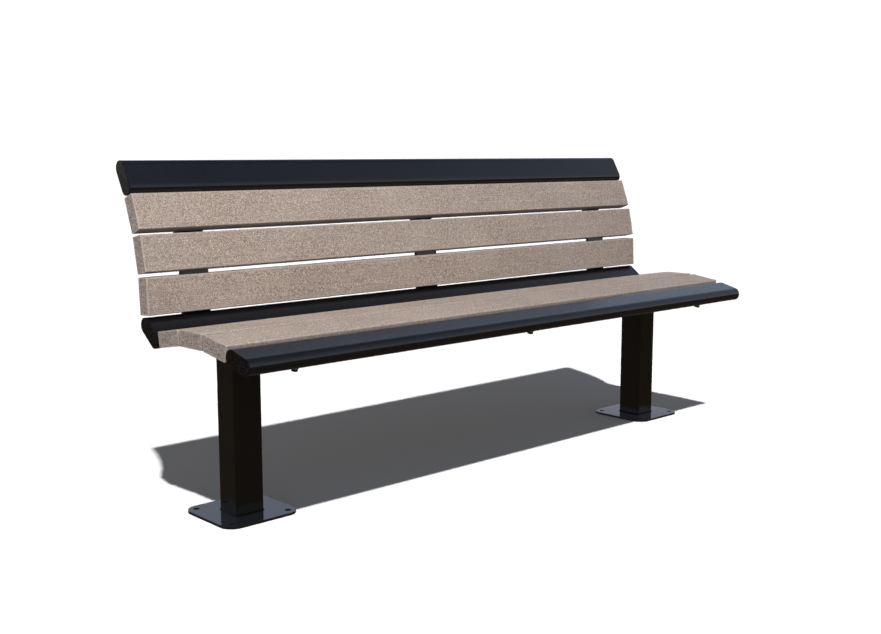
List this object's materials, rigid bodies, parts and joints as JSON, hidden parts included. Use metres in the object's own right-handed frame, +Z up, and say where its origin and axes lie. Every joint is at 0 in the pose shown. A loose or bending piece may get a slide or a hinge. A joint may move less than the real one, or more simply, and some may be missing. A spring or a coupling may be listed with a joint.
{
  "type": "bench",
  "caption": "Contour bench with a back: speckled recycled plastic slats and round-edged black rails on bent flat steel straps, standing on square pedestals with bolt-down plates.",
  "frame": {"origin": "on the floor, at the middle of the bench's outline seen from above", "axes": "+X along the bench to the right of someone who faces its front, +Y to the back, +Z up"},
  "size_m": [1.8288, 0.5532, 0.8313],
  "materials": {
    "black_frame": "glossy black powder coat with a fine orange-peel texture",
    "rails": "satin blue-black powder coat",
    "end_caps": "finely pebbled dark grey moulding",
    "slats": "speckled grey-beige recycled plastic with a fine lengthwise grain",
    "black_bolts": "black coated steel",
    "zinc_hardware": "dull zinc plate"
  },
  "bodies": {
    "root": {"left_base_plate": "black_frame", "right_base_plate": "black_frame", "left_leg": "black_frame", "right_leg": "black_frame", "left_foot_weld": "black_frame", "right_foot_weld": "black_frame", "left_head_weld": "black_frame", "right_head_weld": "black_frame", "left_strap": "black_frame", "middle_strap": "black_frame", "right_strap": "black_frame", "front_seat_slat": "slats", "middle_seat_slat": "slats", "rear_seat_slat": "slats", "lower_back_slat": "slats", "middle_back_slat": "slats", "upper_back_slat": "slats", "front_rail": "rails", "corner_rail": "rails", "top_rail": "rails", "front_rail_left_cap": "end_caps", "front_rail_right_cap": "end_caps", "corner_rail_left_cap": "end_caps", "corner_rail_right_cap": "end_caps", "top_rail_left_cap": "end_caps", "top_rail_right_cap": "end_caps", "rail_inserts": "zinc_hardware", "front_rail_bolts": "black_bolts", "corner_rail_bolts": "black_bolts", "top_rail_bolts": "black_bolts", "rail_lock_washers": "zinc_hardware", "rail_flat_washers": "zinc_hardware", "left_slat_screws": "zinc_hardware", "middle_slat_screws": "zinc_hardware", "right_slat_screws": "zinc_hardware"}
  },
  "joints": []
}
